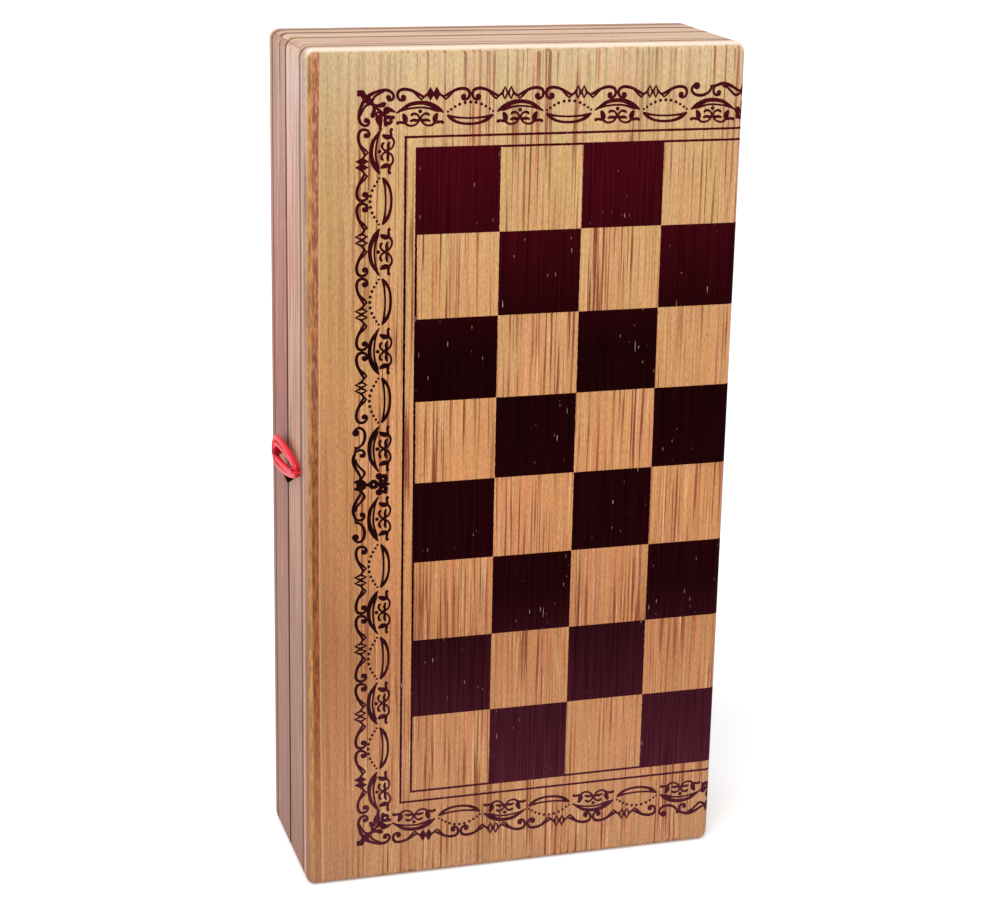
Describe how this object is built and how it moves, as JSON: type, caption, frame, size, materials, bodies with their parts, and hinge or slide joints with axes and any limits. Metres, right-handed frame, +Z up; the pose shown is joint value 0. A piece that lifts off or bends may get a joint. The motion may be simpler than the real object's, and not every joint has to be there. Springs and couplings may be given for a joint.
{
  "type": "folding backgammon board",
  "caption": "Folding wooden box, chess squares and scroll border outside, backgammon field inside, hinged on one long side and shut by a soft loop, with checkers and dice.",
  "frame": {"origin": "on the ground, midway between the two trays and midway across the wooden box", "axes": "+Z up along the long side, +X towards the hinged side, -Y out of the front face"},
  "size_m": [0.1295, 0.048, 0.24],
  "materials": {
    "panel_wood": "satin lacquer over a print",
    "rail_wood": "satin lacquer",
    "brass": "satin",
    "red_plastic": "semi-gloss",
    "dark_checker": "polished stain",
    "pale_checker": "polished",
    "die_plastic": "polished"
  },
  "bodies": {
    "back_half": {"back_panel": "panel_wood", "back_rail_top": "rail_wood", "back_rail_bottom": "rail_wood", "back_rail_latch_side": "rail_wood", "back_rail_hinge_side": "rail_wood", "upper_hinge_back_leaf": "brass", "upper_hinge_back_screw_1": "brass", "upper_hinge_back_screw_2": "brass", "lower_hinge_back_leaf": "brass", "lower_hinge_back_screw_1": "brass", "lower_hinge_back_screw_2": "brass", "upper_hinge_pin": "brass", "lower_hinge_pin": "brass", "clasp_nail": "red_plastic", "back_checker_01": "dark_checker", "back_checker_02": "dark_checker", "back_checker_03": "dark_checker", "back_checker_04": "dark_checker", "back_checker_05": "dark_checker", "back_checker_06": "dark_checker", "back_checker_07": "dark_checker", "back_checker_08": "dark_checker", "back_checker_09": "dark_checker", "back_checker_10": "dark_checker", "back_checker_11": "dark_checker", "back_checker_12": "dark_checker", "back_checker_13": "dark_checker", "back_checker_14": "dark_checker", "back_checker_15": "dark_checker", "back_die": "die_plastic"},
    "front_half": {"front_panel": "panel_wood", "front_rail_top": "rail_wood", "front_rail_bottom": "rail_wood", "front_rail_latch_side": "rail_wood", "front_rail_hinge_side": "rail_wood", "upper_hinge_front_leaf": "brass", "upper_hinge_front_screw_1": "brass", "upper_hinge_front_screw_2": "brass", "lower_hinge_front_leaf": "brass", "lower_hinge_front_screw_1": "brass", "lower_hinge_front_screw_2": "brass", "clasp_staple": "red_plastic", "front_checker_01": "pale_checker", "front_checker_02": "pale_checker", "front_checker_03": "pale_checker", "front_checker_04": "pale_checker", "front_checker_05": "pale_checker", "front_checker_06": "pale_checker", "front_checker_07": "pale_checker", "front_checker_08": "pale_checker", "front_checker_09": "pale_checker", "front_checker_10": "pale_checker", "front_checker_11": "pale_checker", "front_checker_12": "pale_checker", "front_checker_13": "pale_checker", "front_checker_14": "pale_checker", "front_checker_15": "pale_checker", "front_die": "die_plastic"},
    "clasp_loop": {"clasp_loop": "red_plastic"}
  },
  "joints": [
    {"name": "box_hinge", "type": "hinge", "parent": "back_half", "child": "front_half", "pos_m": [0.0619, 0, 0.12], "axis": [0, 0, 1], "range_deg": [0, 180]},
    {"name": "clasp_swing", "type": "hinge", "parent": "front_half", "child": "clasp_loop", "pos_m": [-0.06275, -0.01575, 0.1232], "axis": [0, 0, 1], "range_deg": [0, 165]}
  ]
}
